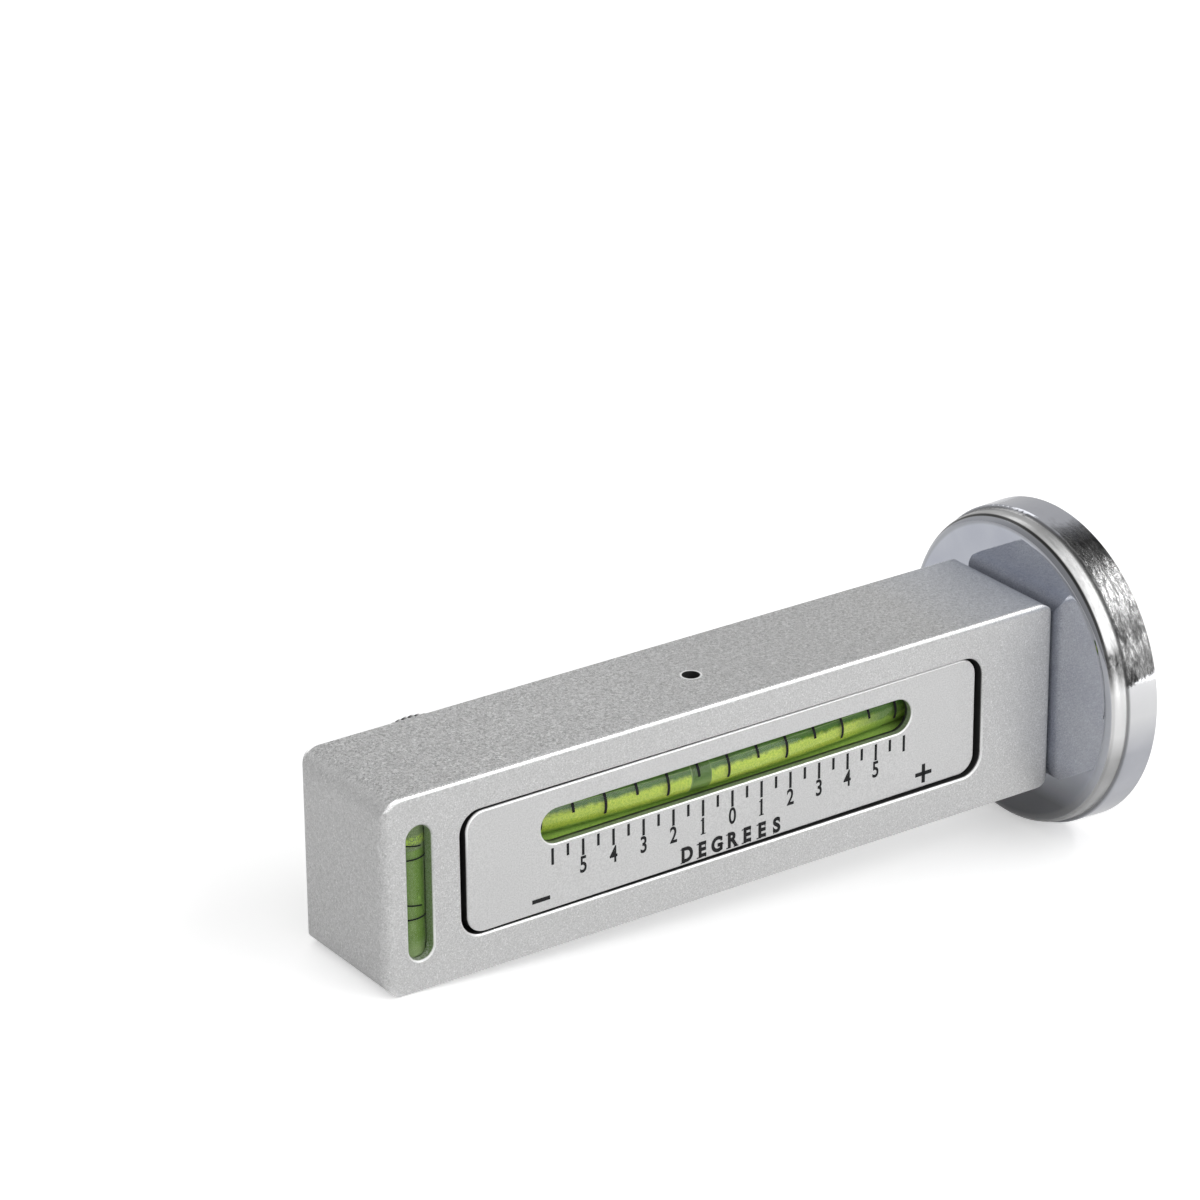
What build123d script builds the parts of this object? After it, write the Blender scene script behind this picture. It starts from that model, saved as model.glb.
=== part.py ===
"""Magnetic camber and caster gauge: a square metal bar with a pot magnet on its inner end.

A rocker inside the bar carries a curved camber vial on the front and a curved caster vial on the
back. It rocks on an upright pin, set by a knurled knob on the back and a return spring. Two short
level vials stand across the bar's outer end, one behind each face.

Frame: millimetres, origin at the centre of the magnet's contact face, bar along -X, camber face
towards -Y, +Z up.
"""
from build123d import *
from collections import namedtuple
from math import asin, cos, degrees, dist, pi, radians, sin
import os

# ---- driving dimensions ----------------------------------------------------------------------
MAGNET_DIAMETER = 59.0
MAGNET_HEIGHT = 10.0
BAR_LENGTH = 139.4
BAR_DEPTH = 25.6
BAR_HEIGHT = 35.8
CENTRE_X = -80.0            # the rocker's pivot and the camber scale's zero
FIT = 0.01                  # radial clearance of a push fit
RUNNING = 0.03              # radial clearance of a running fit

# bar
END_CORNER = 4.0            # rounding of the bar's corners, seen from the front
END_EDGE = 2.0              # rounding of its upright edges
LONG_EDGE = 0.7             # rounding of its long edges
OPENING = (108.5, 22.8, 4.0)        # front opening: length, height, corner radius
OPENING_X = -80.3
OPENING_Z = 0.45
BACK_WALL = 4.4
WINDOW = (70.0, 21.6, 4.0)          # caster window in the back wall
WINDOW_X = -71.0
RIM_BREAK = 0.25            # broken edge round the openings

# rocker
PIVOT_Y = -0.9
REST_TILT = 0.5             # degrees, outer end towards the front
RECESS = 0.45               # scale plates behind the bar's faces, at the pivot
PLATE_THICKNESS = 1.8
PLATE_EDGE = 0.35
CAMBER_PLATE = (106.4, 22.0, 3.4)
CASTER_PLATE = (68.4, 20.8, 3.4)
ROCKER_BACK_GAP = 1.4       # rocker to the bar's back wall when square

# curved vials
VIAL_R = 3.5
VIAL_BORE_R = 2.7
VIAL_SEAT_GAP = 0.1
VIAL_BEHIND_FACE = 0.5      # crest of the tube behind its plate's face
VIAL_Z = 4.45
SLOT_HEIGHT = 6.4
DEGREE_PITCH = 6.15         # camber scale, mm per degree
CAMBER_SLOT = 77.6
CAMBER_VIAL = 86.0
CASTER_BEND = 224.0         # centreline radius of the caster vial
CASTER_SLOT = 62.0
CASTER_VIAL = 66.0
PLUG = 2.5
BUBBLE = (2.0, 4.4)         # radius, length
BUBBLE_FORWARD = 0.3        # bubble's axis beyond the bore's, towards the crest
BUBBLE_GAP = 0.12
BUBBLE_END = 1.7            # rounding of a bubble's ends
CAMBER_BUBBLE_AT = -0.86    # degrees along the scale

# level vials across the outer end
LEVEL_X = -142.4
LEVEL_DEPTH = 5.6           # axis behind its face
LEVEL_R = 4.0
LEVEL_BORE_R = 3.2
LEVEL_LENGTH = 28.0
LEVEL_PLUG = 1.5
LEVEL_SLOT = (24.4, 4.85)
LEVEL_SEAT_TOP = 14.3
LEVEL_BUBBLE = (2.2, 6.0)   # radius, length
COVER_THICKNESS = 3.2
COVER_SINK = 0.3

# adjuster
KNOB_X = -121.3
KNOB_R = 12.4
KNOB_THICKNESS = 8.0
KNOB_EDGE = 0.5
KNOB_DISH = (9.0, 0.6)      # radius, depth
KNOB_FLUTES = 60
FLUTE_DEPTH = 0.55
COLLAR = (7.0, 2.0)         # radius, thickness
KNOB_CLEARANCE = 1.0
SCREW_R = 2.5
SCREW_IN_KNOB = 6.0
BUSH_R = 4.0
PAD = (2.0, 1.6, 0.6)       # radius, length, edge rounding
CONTACT_GAP = 0.05

# pivot pin and return spring
PIN_R = 1.5
PIN_SINK = 1.4
PIN_FLOOR = 2.0             # metal left under the pin
SPRING_X = 49.0             # from the pivot, towards the magnet
SPRING_Z = -4.5
COIL_R = 2.1                # coil's centreline
WIRE_R = 0.25
SPRING_TURNS = 6
SPRING_SEAT_R = 2.7
SEAT_IN_WALL = 2.4
SEAT_IN_ROCKER = 4.0

# pot magnet
CUP_BASE = 2.5
CUP_BORE_R = 26.8
NECK_R = 28.6               # the cup's side next to the bar
NECK_EDGE = 2.2
BAND_START = 6.4            # contact face to the step in the cup's side
BAND_EDGE = 0.5
CUP_LIP = 0.4
RING_BORE_R = 12.0
RING_R = 25.4
RING_SINK = 0.8
POLE_R = 11.0
POLE_EDGE = 0.3
RESIN_SINK = 0.5
STUD_R = 3.0
STUD_IN_POLE = 4.5
STUD_IN_BAR = 12.0
STUD_HOLE_SPARE = 2.5
STUD_CUP_GAP = 0.1

# ---- derived places --------------------------------------------------------------------------
BAR_END = -MAGNET_HEIGHT
BAR_MIDDLE = BAR_END - BAR_LENGTH / 2
FACE_Y = BAR_DEPTH / 2
TOP_Z = BAR_HEIGHT / 2
FLOOR_Y = FACE_Y - BACK_WALL                # inner face of the bar's back wall
CUP_FLOOR = BAR_END + CUP_BASE

# rocker, as distances behind its pivot
CAMBER_FACE = RECESS - FACE_Y - PIVOT_Y
CASTER_FACE = FACE_Y - RECESS - PIVOT_Y
BLOCK_FRONT = CAMBER_FACE + PLATE_THICKNESS
BLOCK_BACK = FLOOR_Y - ROCKER_BACK_GAP - PIVOT_Y
BOSS_BACK = CASTER_FACE - PLATE_THICKNESS
PLATE_X = OPENING_X - CENTRE_X
CASTER_X = WINDOW_X - CENTRE_X
CREST_TO_AXIS = VIAL_BEHIND_FACE + VIAL_R
CAMBER_BEND = DEGREE_PITCH * 180 / pi       # centreline radius of the camber vial

# side is -1 where the crest faces the camber side, and 1 where it faces the caster side
Vial = namedtuple("Vial", "side x axis_y bend length slot")
CAMBER = Vial(-1, 0.0, CAMBER_FACE + CREST_TO_AXIS, CAMBER_BEND, CAMBER_VIAL, CAMBER_SLOT)
CASTER = Vial(1, CASTER_X, CASTER_FACE - CREST_TO_AXIS, CASTER_BEND, CASTER_VIAL, CASTER_SLOT)

ROCKER = Plane(
    origin=(CENTRE_X, PIVOT_Y, 0),
    x_dir=(cos(radians(REST_TILT)), sin(radians(REST_TILT)), 0),
    z_dir=(0, 0, 1),
)
DEPTH = Axis(ROCKER.origin, ROCKER.y_dir)   # from the camber plate to the caster plate


def front_plane(y):
    """Plane parallel to the bar's faces, looking out of the camber side, sketch Y along +Z."""
    return Plane(origin=(0, y, 0), x_dir=(1, 0, 0), z_dir=(0, -1, 0))


def rocker_plane(depth):
    """The same, parallel to the rocker's plates and depth behind its pivot."""
    return Plane(
        origin=ROCKER.from_local_coords((0, depth, 0)), x_dir=ROCKER.x_dir, z_dir=-ROCKER.y_dir
    )


def hinge_point(vial):
    """Centre of a curved vial's bend."""
    return ROCKER.from_local_coords((vial.x, vial.axis_y - vial.side * vial.bend, 0))


def section_plane(vial, angle):
    """Upright plane across a curved vial, its origin on the bend's centre, sketch X outwards."""
    heading = radians(REST_TILT + angle)
    outwards = Vector(-sin(heading), cos(heading), 0) * vial.side
    along = Vector(cos(heading), sin(heading), 0) * vial.side
    return Plane(origin=hinge_point(vial), x_dir=outwards, z_dir=along)


def half_angle(vial, shorter=0.0):
    """Half of a curved vial's arc in degrees, with each end shorter by so many millimetres."""
    return degrees(asin((vial.length / 2 - shorter) / vial.bend))


def bend_rod(vial, radius, start, end, outwards=0.0, mode=Mode.ADD):
    """A round rod along a curved vial from one angle to another."""
    with BuildSketch(section_plane(vial, start)) as section:
        with Locations((vial.bend + outwards, VIAL_Z)):
            Circle(radius)
    hinge = Axis(hinge_point(vial), (0, 0, 1))
    revolve(section.sketch, axis=hinge, revolution_arc=end - start, mode=mode)


def cut_groove(vial, depth):
    """A round-bottomed groove for a curved vial, open out to its face."""
    radius = VIAL_R + VIAL_SEAT_GAP
    half = half_angle(vial) + degrees(VIAL_SEAT_GAP / vial.bend)
    with BuildSketch(section_plane(vial, -half)) as section:
        with Locations((vial.bend, VIAL_Z)):
            Circle(radius)
            Rectangle(depth, 2 * radius, align=(Align.MIN, Align.CENTER))
    hinge = Axis(hinge_point(vial), (0, 0, 1))
    revolve(section.sketch, axis=hinge, revolution_arc=2 * half, mode=Mode.SUBTRACT)


def finish(name, label):
    """Label a finished piece and write its file."""
    name.part.label = label
    export_step(name.part, f"parts/{label}.step")


os.makedirs("parts", exist_ok=True)

# ---- bar body --------------------------------------------------------------------------------
with BuildPart() as body:
    with BuildSketch(Plane.YZ.offset(BAR_END - BAR_LENGTH)):
        RectangleRounded(BAR_DEPTH, BAR_HEIGHT, LONG_EDGE)
    extrude(amount=BAR_LENGTH)
    with BuildSketch(front_plane(FACE_Y)):
        with Locations((BAR_MIDDLE, 0)):
            RectangleRounded(BAR_LENGTH, BAR_HEIGHT, END_CORNER)
    extrude(amount=BAR_DEPTH, mode=Mode.INTERSECT)
    with BuildSketch(Plane.XY.offset(-TOP_Z)):
        with Locations((BAR_MIDDLE, 0)):
            RectangleRounded(BAR_LENGTH, BAR_DEPTH, END_EDGE)
    extrude(amount=BAR_HEIGHT, mode=Mode.INTERSECT)
    # front opening, down to the back wall, and the caster window through that wall
    with BuildSketch(front_plane(FLOOR_Y)):
        with Locations((OPENING_X, OPENING_Z)):
            RectangleRounded(*OPENING)
    extrude(amount=FLOOR_Y + FACE_Y, mode=Mode.SUBTRACT)
    with BuildSketch(front_plane(FACE_Y)):
        with Locations((WINDOW_X, OPENING_Z)):
            RectangleRounded(*WINDOW)
    extrude(amount=BACK_WALL, mode=Mode.SUBTRACT)
    # level vials: upright bores from below, each with a slot out to its face
    for side in (-1, 1):
        with BuildSketch(Plane.XY.offset(-TOP_Z)):
            with Locations((LEVEL_X, side * (FACE_Y - LEVEL_DEPTH))):
                Circle(LEVEL_R + VIAL_SEAT_GAP)
        extrude(amount=TOP_Z + LEVEL_SEAT_TOP, mode=Mode.SUBTRACT)
        with BuildSketch(front_plane(side * FACE_Y)):
            with Locations((LEVEL_X, 0)):
                SlotOverall(*LEVEL_SLOT, rotation=90)
        extrude(amount=side * LEVEL_DEPTH, mode=Mode.SUBTRACT)
    # broken edges round the openings of both faces
    front_rims = body.faces().sort_by(Axis.Y)[0].inner_wires()
    back_rims = body.faces().sort_by(Axis.Y)[-1].inner_wires()
    chamfer([edge for wire in front_rims + back_rims for edge in wire.edges()], RIM_BREAK)
    # pivot pin's bore from the top
    with BuildSketch(Plane.XY.offset(PIN_FLOOR - TOP_Z)):
        with Locations((CENTRE_X, PIVOT_Y)):
            Circle(PIN_R + FIT)
    extrude(amount=2 * TOP_Z - PIN_FLOOR, mode=Mode.SUBTRACT)
    # adjusting screw's bush, return spring's seat and the magnet's stud
    with BuildSketch(front_plane(FACE_Y)):
        with Locations((KNOB_X, 0)):
            Circle(BUSH_R + FIT)
    extrude(amount=BACK_WALL, mode=Mode.SUBTRACT)
    with BuildSketch(front_plane(FLOOR_Y + SEAT_IN_WALL)):
        with Locations((CENTRE_X + SPRING_X, SPRING_Z)):
            Circle(SPRING_SEAT_R)
    extrude(amount=SEAT_IN_WALL, mode=Mode.SUBTRACT)
    with BuildSketch(Plane.YZ.offset(BAR_END)):
        Circle(STUD_R + FIT)
    extrude(amount=-(STUD_IN_BAR + STUD_HOLE_SPARE), mode=Mode.SUBTRACT)
finish(body, "body")

# ---- pivot pin -------------------------------------------------------------------------------
with BuildPart() as pivot_pin:
    with BuildSketch(Plane.XY.offset(PIN_FLOOR - TOP_Z)):
        with Locations((CENTRE_X, PIVOT_Y)):
            Circle(PIN_R)
    extrude(amount=2 * TOP_Z - PIN_FLOOR - PIN_SINK)
finish(pivot_pin, "pivot_pin")

# ---- rocker block ----------------------------------------------------------------------------
with BuildPart() as rocker_block:
    with BuildSketch(rocker_plane(BLOCK_BACK)):
        with Locations((PLATE_X, OPENING_Z)):
            RectangleRounded(*CAMBER_PLATE)
    extrude(amount=BLOCK_BACK - BLOCK_FRONT)
    with BuildSketch(rocker_plane(BOSS_BACK)):
        with Locations((CASTER_X, OPENING_Z)):
            RectangleRounded(*CASTER_PLATE)
    extrude(amount=BOSS_BACK - BLOCK_BACK)
    cut_groove(CAMBER, BAR_DEPTH / 2)
    cut_groove(CASTER, BAR_DEPTH / 2)
    with BuildSketch(ROCKER.offset(-TOP_Z)):
        Circle(PIN_R + RUNNING)
    extrude(amount=2 * TOP_Z, mode=Mode.SUBTRACT)
    with BuildSketch(rocker_plane(BLOCK_BACK)):
        with Locations((SPRING_X, SPRING_Z)):
            Circle(SPRING_SEAT_R)
    extrude(amount=SEAT_IN_ROCKER, mode=Mode.SUBTRACT)
finish(rocker_block, "rocker_block")


# ---- scale plates ----------------------------------------------------------------------------
def add_scale_plate(vial, face, outline, x):
    """A plate with a round-ended slot, its outer rim rounded."""
    with BuildSketch(rocker_plane(face)) as plate:
        with Locations((x, OPENING_Z)):
            RectangleRounded(*outline)
        with Locations((vial.x, VIAL_Z)):
            SlotOverall(vial.slot, SLOT_HEIGHT, mode=Mode.SUBTRACT)
    extrude(plate.sketch, amount=vial.side * PLATE_THICKNESS)


with BuildPart() as camber_scale_plate:
    add_scale_plate(CAMBER, CAMBER_FACE, CAMBER_PLATE, PLATE_X)
    fillet(camber_scale_plate.faces().sort_by(DEPTH)[0].outer_wire().edges(), PLATE_EDGE)
    slot_rim = camber_scale_plate.faces().sort_by(DEPTH)[0].inner_wires()[0]
    chamfer(slot_rim.edges(), PLATE_EDGE / 2)
finish(camber_scale_plate, "camber_scale_plate")

with BuildPart() as caster_scale_plate:
    add_scale_plate(CASTER, CASTER_FACE, CASTER_PLATE, CASTER_X)
    fillet(caster_scale_plate.faces().sort_by(DEPTH)[-1].outer_wire().edges(), PLATE_EDGE)
    slot_rim = caster_scale_plate.faces().sort_by(DEPTH)[-1].inner_wires()[0]
    chamfer(slot_rim.edges(), PLATE_EDGE / 2)
finish(caster_scale_plate, "caster_scale_plate")

# ---- curved vials: tube, plugs, fluid and bubble ---------------------------------------------
for name, vial, bubble_at in (("camber", CAMBER, CAMBER_BUBBLE_AT), ("caster", CASTER, 0.0)):
    tube_half = half_angle(vial)
    plug_half = half_angle(vial, PLUG)
    fluid_half = half_angle(vial, PLUG + FIT)
    with BuildPart() as vial_tube:
        bend_rod(vial, VIAL_R, -tube_half, tube_half)
        bend_rod(vial, VIAL_BORE_R, -tube_half, tube_half, mode=Mode.SUBTRACT)
    finish(vial_tube, f"{name}_vial_tube")

    with BuildPart() as vial_plugs:
        bend_rod(vial, VIAL_BORE_R - FIT, -tube_half, -plug_half)
        bend_rod(vial, VIAL_BORE_R - FIT, plug_half, tube_half)
    finish(vial_plugs, f"{name}_vial_plugs")

    with BuildPart() as vial_fluid:
        bend_rod(vial, VIAL_BORE_R - FIT, -fluid_half, fluid_half)
        bend_rod(
            vial, BUBBLE[0] + BUBBLE_GAP, -tube_half, tube_half, BUBBLE_FORWARD, Mode.SUBTRACT
        )
    finish(vial_fluid, f"{name}_vial_fluid")

    with BuildPart() as vial_bubble:
        with BuildSketch(section_plane(vial, bubble_at)):
            with Locations((vial.bend + BUBBLE_FORWARD, VIAL_Z)):
                Circle(BUBBLE[0])
        extrude(amount=BUBBLE[1] / 2, both=True)
        fillet(vial_bubble.edges().filter_by(GeomType.CIRCLE), BUBBLE_END)
    finish(vial_bubble, f"{name}_bubble")

# ---- level vials -----------------------------------------------------------------------------
LEVEL_BOTTOM = Plane.XY.offset(-LEVEL_LENGTH / 2)
for name, side in (("camber", -1), ("caster", 1)):
    axis_at = (LEVEL_X, side * (FACE_Y - LEVEL_DEPTH))
    with BuildPart() as level_tube:
        with BuildSketch(LEVEL_BOTTOM):
            with Locations(axis_at):
                Circle(LEVEL_R)
                Circle(LEVEL_BORE_R, mode=Mode.SUBTRACT)
        extrude(amount=LEVEL_LENGTH)
    finish(level_tube, f"{name}_level_tube")

    with BuildPart() as level_fluid:
        with BuildSketch(LEVEL_BOTTOM.offset(LEVEL_PLUG + FIT)):
            with Locations(axis_at):
                Circle(LEVEL_BORE_R - FIT)
                Circle(LEVEL_BUBBLE[0] + BUBBLE_GAP, mode=Mode.SUBTRACT)
        extrude(amount=LEVEL_LENGTH - 2 * (LEVEL_PLUG + FIT))
    finish(level_fluid, f"{name}_level_fluid")

    with BuildPart() as level_bubble:
        highest = LEVEL_LENGTH - LEVEL_PLUG - CONTACT_GAP
        with BuildSketch(LEVEL_BOTTOM.offset(highest)):
            with Locations(axis_at):
                Circle(LEVEL_BUBBLE[0])
        extrude(amount=-LEVEL_BUBBLE[1])
        fillet(level_bubble.edges().filter_by(GeomType.CIRCLE), BUBBLE_END)
    finish(level_bubble, f"{name}_level_bubble")

LEVEL_PLACES = [(LEVEL_X, side * (FACE_Y - LEVEL_DEPTH)) for side in (-1, 1)]
with BuildPart() as level_plugs:
    for bottom in (0, LEVEL_LENGTH - LEVEL_PLUG):
        with BuildSketch(LEVEL_BOTTOM.offset(bottom)):
            with Locations(LEVEL_PLACES):
                Circle(LEVEL_BORE_R - FIT)
        extrude(amount=LEVEL_PLUG)
finish(level_plugs, "level_vial_plugs")

with BuildPart() as level_covers:
    with BuildSketch(Plane.XY.offset(COVER_SINK - TOP_Z)):
        with Locations(LEVEL_PLACES):
            Circle(LEVEL_R + VIAL_SEAT_GAP - FIT)
    extrude(amount=COVER_THICKNESS)
finish(level_covers, "level_bore_covers")

# ---- adjuster: bush, screw with a pad on its tip, and knob -----------------------------------
PAD_TIP = ROCKER.from_local_coords((KNOB_X - CENTRE_X, BLOCK_BACK, 0)).Y + CONTACT_GAP
PAD_BACK = PAD_TIP + PAD[1]
COLLAR_START = FACE_Y + KNOB_CLEARANCE
KNOB_START = COLLAR_START + COLLAR[1]
KNOB_END = KNOB_START + KNOB_THICKNESS

with BuildPart() as screw_bush:
    with BuildSketch(front_plane(FACE_Y)):
        with Locations((KNOB_X, 0)):
            Circle(BUSH_R)
            Circle(SCREW_R + RUNNING, mode=Mode.SUBTRACT)
    extrude(amount=BACK_WALL)
finish(screw_bush, "screw_bush")

with BuildPart() as adjusting_screw:
    with BuildSketch(front_plane(COLLAR_START + SCREW_IN_KNOB)):
        with Locations((KNOB_X, 0)):
            Circle(SCREW_R)
    extrude(amount=COLLAR_START + SCREW_IN_KNOB - PAD_BACK)
finish(adjusting_screw, "adjusting_screw")

with BuildPart() as thrust_pad:
    with BuildSketch(front_plane(PAD_BACK)):
        with Locations((KNOB_X, 0)):
            Circle(PAD[0])
    extrude(amount=PAD[1])
    fillet(thrust_pad.faces().sort_by(Axis.Y)[0].edges(), PAD[2])
finish(thrust_pad, "thrust_pad")

with BuildPart() as knob:
    # fluted disc, its rims bevelled by a plain disc with cut corners
    with BuildSketch(front_plane(KNOB_END)):
        with Locations((KNOB_X, 0)):
            Circle(KNOB_R)
            with PolarLocations(KNOB_R, KNOB_FLUTES):
                Rectangle(
                    FLUTE_DEPTH * 2**0.5, FLUTE_DEPTH * 2**0.5, rotation=45, mode=Mode.SUBTRACT
                )
    extrude(amount=KNOB_THICKNESS)
    with BuildSketch(Plane(origin=(KNOB_X, 0, 0), x_dir=(1, 0, 0), z_dir=(0, 0, 1))):
        with BuildLine():
            Polyline(
                (0, KNOB_START),
                (KNOB_R - KNOB_EDGE, KNOB_START),
                (KNOB_R, KNOB_START + KNOB_EDGE),
                (KNOB_R, KNOB_END - KNOB_EDGE),
                (KNOB_R - KNOB_EDGE, KNOB_END),
                (0, KNOB_END),
                close=True,
            )
        make_face()
    revolve(axis=Axis((KNOB_X, 0, 0), (0, 1, 0)), mode=Mode.INTERSECT)
    with BuildSketch(front_plane(KNOB_START)):
        with Locations((KNOB_X, 0)):
            Circle(COLLAR[0])
    extrude(amount=COLLAR[1])
    with BuildSketch(front_plane(KNOB_END)):
        with Locations((KNOB_X, 0)):
            Circle(KNOB_DISH[0])
    extrude(amount=KNOB_DISH[1], mode=Mode.SUBTRACT)
    with BuildSketch(front_plane(COLLAR_START + SCREW_IN_KNOB)):
        with Locations((KNOB_X, 0)):
            Circle(SCREW_R + FIT)
    extrude(amount=SCREW_IN_KNOB, mode=Mode.SUBTRACT)
finish(knob, "knob")

# ---- return spring: one round wire, quarter turn by quarter turn -----------------------------
SPRING_FRONT = (
    ROCKER.from_local_coords((SPRING_X, BLOCK_BACK - SEAT_IN_ROCKER, 0)).Y + WIRE_R + CONTACT_GAP
)
SPRING_REAR = FLOOR_Y + SEAT_IN_WALL - WIRE_R - CONTACT_GAP


def coil_point(turn):
    """Point on the coil's centreline after so many turns from its front end."""
    along = SPRING_FRONT + (SPRING_REAR - SPRING_FRONT) * turn / SPRING_TURNS
    return (
        CENTRE_X + SPRING_X + COIL_R * cos(2 * pi * turn),
        along,
        SPRING_Z + COIL_R * sin(2 * pi * turn),
    )


with BuildPart() as return_spring:
    with BuildLine() as coil:
        for quarter in range(4 * SPRING_TURNS):
            ThreePointArc(*(coil_point(quarter / 4 + step / 8) for step in range(3)))
    with BuildSketch(Plane(origin=coil_point(0), z_dir=coil.line % 0)):
        Circle(WIRE_R)
    sweep(path=coil.line)
finish(return_spring, "return_spring")

samples = [coil_point(step / 32) for step in range(32 * SPRING_TURNS + 1)]
least = min(
    dist(a, b) - 2 * WIRE_R for i, a in enumerate(samples) for b in samples[i + 16:]
)
print(f"return spring: least gap between turns {least:.2f} mm")


# ---- pot magnet ------------------------------------------------------------------------------
def add_ring(start, end, inner, outer):
    """A ring round the magnet's axis from one X to another."""
    with BuildSketch(Plane.YZ.offset(start)) as section:
        Circle(outer)
        if inner:
            Circle(inner, mode=Mode.SUBTRACT)
    extrude(section.sketch, amount=end - start)


with BuildPart() as magnet_cup:
    with BuildSketch(Plane.XY):
        rim_r = MAGNET_DIAMETER / 2
        with BuildLine():
            hub = (BAR_END, STUD_R + STUD_CUP_GAP)
            back = Line(hub, (BAR_END, NECK_R - NECK_EDGE))
            neck = RadiusArc(back @ 1, (BAR_END + NECK_EDGE, NECK_R), NECK_EDGE)
            side = Line(neck @ 1, (-BAND_START - BAND_EDGE, NECK_R + FIT))
            step = RadiusArc(side @ 1, (-BAND_START, NECK_R + BAND_EDGE / 2), -BAND_EDGE)
            brow = RadiusArc(step @ 1, (BAND_EDGE - BAND_START, rim_r - 0.2), BAND_EDGE * 1.4)
            band = Line(brow @ 1, (-CUP_LIP, rim_r))
            lip = Line(band @ 1, (0, rim_r - CUP_LIP))
            Polyline(
                lip @ 1,
                (0, CUP_BORE_R),
                (CUP_FLOOR, CUP_BORE_R),
                (CUP_FLOOR, STUD_R + STUD_CUP_GAP),
                hub,
            )
        make_face()
    revolve(axis=Axis.X)
finish(magnet_cup, "magnet_cup")

with BuildPart() as magnet_ring:
    add_ring(CUP_FLOOR, -RING_SINK, RING_BORE_R, RING_R)
finish(magnet_ring, "magnet_ring")

with BuildPart() as magnet_resin:
    add_ring(CUP_FLOOR, -RING_SINK, RING_R, CUP_BORE_R)
    add_ring(CUP_FLOOR, -RING_SINK, POLE_R + FIT, RING_BORE_R)
    add_ring(-RING_SINK, -RESIN_SINK, POLE_R + FIT, CUP_BORE_R)
finish(magnet_resin, "magnet_resin")

with BuildPart() as magnet_pole:
    add_ring(CUP_FLOOR, 0, 0, POLE_R)
    chamfer(magnet_pole.faces().sort_by(Axis.X)[-1].edges(), POLE_EDGE)
    with BuildSketch(Plane.YZ.offset(CUP_FLOOR)):
        Circle(STUD_R + FIT)
    extrude(amount=STUD_IN_POLE, mode=Mode.SUBTRACT)
finish(magnet_pole, "magnet_pole")

with BuildPart() as magnet_stud:
    add_ring(BAR_END - STUD_IN_BAR, CUP_FLOOR + STUD_IN_POLE, 0, STUD_R)
finish(magnet_stud, "magnet_stud")
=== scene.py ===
"""Camber caster gauge on a pale table: silver bar, bright magnet, green vials, printed scales."""
from math import asin, pi, radians

import bpy
from mathutils import Matrix, Vector


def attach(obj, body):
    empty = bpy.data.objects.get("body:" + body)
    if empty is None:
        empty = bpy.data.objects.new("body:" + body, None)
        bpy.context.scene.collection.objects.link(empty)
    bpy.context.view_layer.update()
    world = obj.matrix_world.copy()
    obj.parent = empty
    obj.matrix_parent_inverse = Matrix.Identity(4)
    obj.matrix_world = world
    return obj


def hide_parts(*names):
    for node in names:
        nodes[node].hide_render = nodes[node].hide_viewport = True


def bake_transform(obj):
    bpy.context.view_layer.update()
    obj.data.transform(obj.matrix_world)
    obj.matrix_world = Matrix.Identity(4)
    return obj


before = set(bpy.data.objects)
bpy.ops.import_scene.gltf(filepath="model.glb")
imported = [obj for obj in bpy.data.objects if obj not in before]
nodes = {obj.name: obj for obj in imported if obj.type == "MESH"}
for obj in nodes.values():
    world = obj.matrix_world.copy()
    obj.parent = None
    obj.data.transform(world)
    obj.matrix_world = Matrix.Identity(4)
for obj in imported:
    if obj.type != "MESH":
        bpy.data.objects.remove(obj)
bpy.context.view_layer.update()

MM = 0.001

# ---- the gauge's own measures, in metres -----------------------------------------------------
# X runs along the bar with 0 at the magnet's contact face, -Y out of the camber face, Z up.
FACE_Y = 12.8 * MM                  # the bar's two faces, either side of its middle
SCALE_Z = 0.45 * MM                 # middle height of the openings and the plates
OPENING = (-80.3 * MM, SCALE_Z)     # middle of the camber opening, then its half size
OPENING_HALF = (54.25 * MM, 11.4 * MM)
WINDOW = (-71 * MM, SCALE_Z)        # middle of the caster opening, then its half size
WINDOW_HALF = (35 * MM, 10.8 * MM)
OPENING_CORNER = 4 * MM
LEVEL_SLOT_HALF = (2.43 * MM, 12.2 * MM)
LEVEL_SLOT_CORNER = 2.42 * MM

PIVOT = Vector((-80.0, -0.9, 0)) * MM
REST_TILT = radians(0.5)
CAMBER_FACE = -11.45 * MM           # plates' faces, behind the pivot
CASTER_FACE = 13.25 * MM
CASTER_X = 9 * MM                   # middle of the caster vial and scale, from the pivot
PLATE_CORNER = 3.4 * MM
CREST_TO_AXIS = 4.0 * MM
VIAL_R = 3.5 * MM
VIAL_Z = 4.45 * MM
DEGREE = 6.15 * MM                  # a degree along the camber scale
CAMBER_BEND = DEGREE * 180 / pi
CASTER_BEND = 224 * MM
CASTER_DIVISION = CASTER_BEND * radians(1 / 1.5)
CORE_R = 2.7 * MM                   # spirit in the curved vials
BUBBLE_LENGTH = 4.4 * MM
CAMBER_BUBBLE_AT = -0.86 * DEGREE

KNOB_X = -121.3 * MM
LEVEL_X = -142.4 * MM
LEVEL_Y = 7.2 * MM
LEVEL_R = 4.0 * MM
LEVEL_LENGTH = 28 * MM
LEVEL_CORE_R = 3.9 * MM             # spirit in the cross vials, as wide as their tubes make it look
LEVEL_CORE_LENGTH = 25 * MM
LEVEL_BUBBLE_LENGTH = 6.0 * MM
LEVEL_BUBBLE_Z = 9.45 * MM

MAGNET_BACK = -10 * MM
MAGNET_STEP = -6.4 * MM             # step in the cup's side
NECK_R = 28.6 * MM                  # the cup's side next to the bar, and the rounding of its edge
NECK_EDGE = 2.2 * MM

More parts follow.
